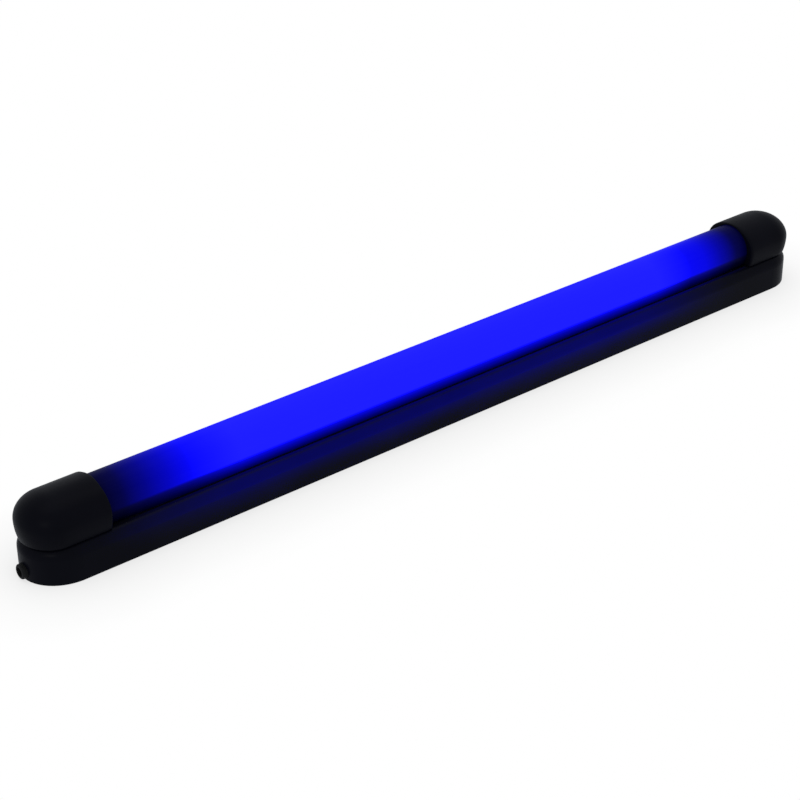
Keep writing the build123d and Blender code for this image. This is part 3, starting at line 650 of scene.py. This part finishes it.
def spill_material(name, level_across):
    """Blue light of a level across the card and along X; what isn't lit is clear."""
    material = bpy.data.materials.new(name)
    material.use_nodes = True
    tree = material.node_tree
    tree.nodes.clear()
    level = math_node(tree, "MULTIPLY", level_across(tree), axis_ramp(tree, "X", SPILL_ALONG))
    light = node(tree, "Emission", {"Color": rgba(SPILL_COLOUR), "Strength": SPILL_STRENGTH})
    clear = node(tree, "BsdfTransparent")
    surface = node(tree, "MixShader", {0: level, 1: clear.outputs[0], 2: light.outputs[0]})
    node(tree, "OutputMaterial", {"Surface": surface.outputs["Shader"]})
    return material


def level_from_wall(tree):
    across = math_node(tree, "ABSOLUTE", axis_value(tree, "Y"))
    low, high = BASE_HIGH.y + SPILL_ACROSS[0][0], BASE_HIGH.y + SPILL_ACROSS[-1][0]
    share = node(tree, "MapRange", {"Value": across, "From Min": low, "From Max": high})
    span = high - low
    stops = [((BASE_HIGH.y + distance - low) / span, level) for distance, level in SPILL_ACROSS]
    return ramp(tree, share.outputs["Result"], stops)


def level_by_height(tree):
    heights = [(SPILL_ARCH_RADIUS * math.sin(math.radians(angle)), level) for angle, level in SPILL_UP]
    return axis_ramp(tree, "Z", heights)


def level_beside_tube(tree):
    low, high = BASE_HIGH.z, TUBE_AXIS_Z + TUBE_RADIUS
    return axis_ramp(tree, "Z", ((low, SPILL_BESIDE_TUBE), (TUBE_AXIS_Z, SPILL_BESIDE_TUBE), (high, 0.0)))


def spill_card(name, line, material, lit):
    """A card along the base: a line in the YZ plane, drawn out along X."""
    mesh = bmesh.new()
    ends = (SPILL_ALONG[0][0], SPILL_ALONG[-1][0])
    add_strip(mesh, [[Vector((x, y, z)) for y, z in line] for x in ends])
    data = bpy.data.meshes.new(name)
    mesh.to_mesh(data)
    mesh.free()
    data.materials.append(material)
    card = bpy.data.objects.new(name, data)
    bpy.context.scene.collection.objects.link(card)
    card.visible_camera = False
    card.visible_diffuse = False
    card.visible_shadow = False
    card.light_linking.receiver_collection = lit


def spill():
    """Blue light round the base, as the tube throws it about: only the housing reflects it."""
    lit = bpy.data.collections.new("lit_by_spill")
    lit.objects.link(frame["nodes"]["base_housing"])
    radius = SPILL_ARCH_RADIUS
    turns = [math.radians(SPILL_UP[-1][0]) * index / 12 for index in range(13)]
    beside = TUBE_RADIUS + 0.4 * MM
    lines = {
        "table": [(BASE_HIGH.y, 0.05 * MM), (radius, 0.05 * MM)],
        "arch": [(radius * math.cos(turn), radius * math.sin(turn)) for turn in turns],
        "beside_tube": [(beside, BASE_HIGH.z + 0.2 * MM), (beside, TUBE_AXIS_Z + TUBE_RADIUS)],
    }
    levels = {"table": level_from_wall, "arch": level_by_height, "beside_tube": level_beside_tube}
    for name, line in lines.items():
        material = spill_material("spill_" + name, levels[name])
        for side in (-1, 1):
            spill_card("spill_" + name, [(side * y, z) for y, z in line], material, lit)


def world():
    """A white background for the camera and a dim even room for everything else."""
    made = bpy.data.worlds.new("studio")
    made.use_nodes = True
    tree = made.node_tree
    tree.nodes.clear()
    room = node(tree, "Background", {"Color": rgba((0.9, 0.94, 1.0)), "Strength": 0.5}).outputs[0]
    white = node(tree, "Background", {"Color": rgba(1.0), "Strength": 1.0}).outputs[0]
    seen = node(tree, "LightPath").outputs["Is Camera Ray"]
    surface = node(tree, "MixShader", {0: seen, 1: room, 2: white}).outputs["Shader"]
    node(tree, "OutputWorld", {"Surface": surface})
    bpy.context.scene.world = made


def softbox(name, place, target, width, height, radiance):
    """A soft rectangular lamp of an even brightness."""
    light = bpy.data.lights.new(name, "AREA")
    light.shape = "RECTANGLE"
    light.size = width
    light.size_y = height
    light.energy = radiance * math.pi * width * height
    lamp = bpy.data.objects.new(name, light)
    bpy.context.scene.collection.objects.link(lamp)
    lamp.location = place
    lamp.rotation_euler = (Vector(target) - Vector(place)).to_track_quat("-Z", "Y").to_euler()
    lamp.visible_camera = False


def lights():
    middle = (0.0, 0.0, TUBE_AXIS_Z)
    softbox("overhead", (0.0, 0.1, 1.3), middle, 1.4, 0.7, 0.45)
    softbox("front_left", (-1.1, -0.7, 0.7), middle, 0.5, 0.35, 1.2)
    softbox("rear_strip", (0.3, 1.2, 0.55), middle, 1.6, 0.25, 0.3)


def camera():
    back = Vector(
        (
            math.sin(AZIMUTH) * math.cos(ELEVATION),
            -math.cos(AZIMUTH) * math.cos(ELEVATION),
            math.sin(ELEVATION),
        )
    )
    level_right = Vector((math.cos(AZIMUTH), math.sin(AZIMUTH), 0.0))
    level_up = back.cross(level_right)
    right = level_right * math.cos(ROLL) - level_up * math.sin(ROLL)
    up = level_up * math.cos(ROLL) + level_right * math.sin(ROLL)
    data = bpy.data.cameras.new("camera")
    data.lens = LENS
    data.clip_start = 0.01
    made = bpy.data.objects.new("camera", data)
    bpy.context.scene.collection.objects.link(made)
    place = back * DISTANCE - right * AIM_SIDE + up * AIM_HEIGHT
    made.matrix_world = Matrix.Translation(place) @ Matrix((right, up, back)).transposed().to_4x4()
    bpy.context.scene.camera = made


def paint_cad_nodes(materials):
    """Gives every CAD node the material of its slot in the record."""
    for subpart in frame["record"]["subparts"]:
        data = frame["nodes"][subpart["node"]].data
        data.materials.clear()
        data.materials.append(materials[subpart["material_slot"]])


def main():
    bpy.context.scene.view_settings.view_transform = "Standard"
    camera()
    world()
    lights()
    floor()
    spill()
    materials = make_materials()
    paint_cad_nodes(materials)
    diffuser_tube(materials)
    end_cover(1, "right_cover_shell", "right_cover", "right_end_cover", materials)
    end_cover(-1, "left_cover_shell", "left_cover", "left_end_cover", materials)


main()
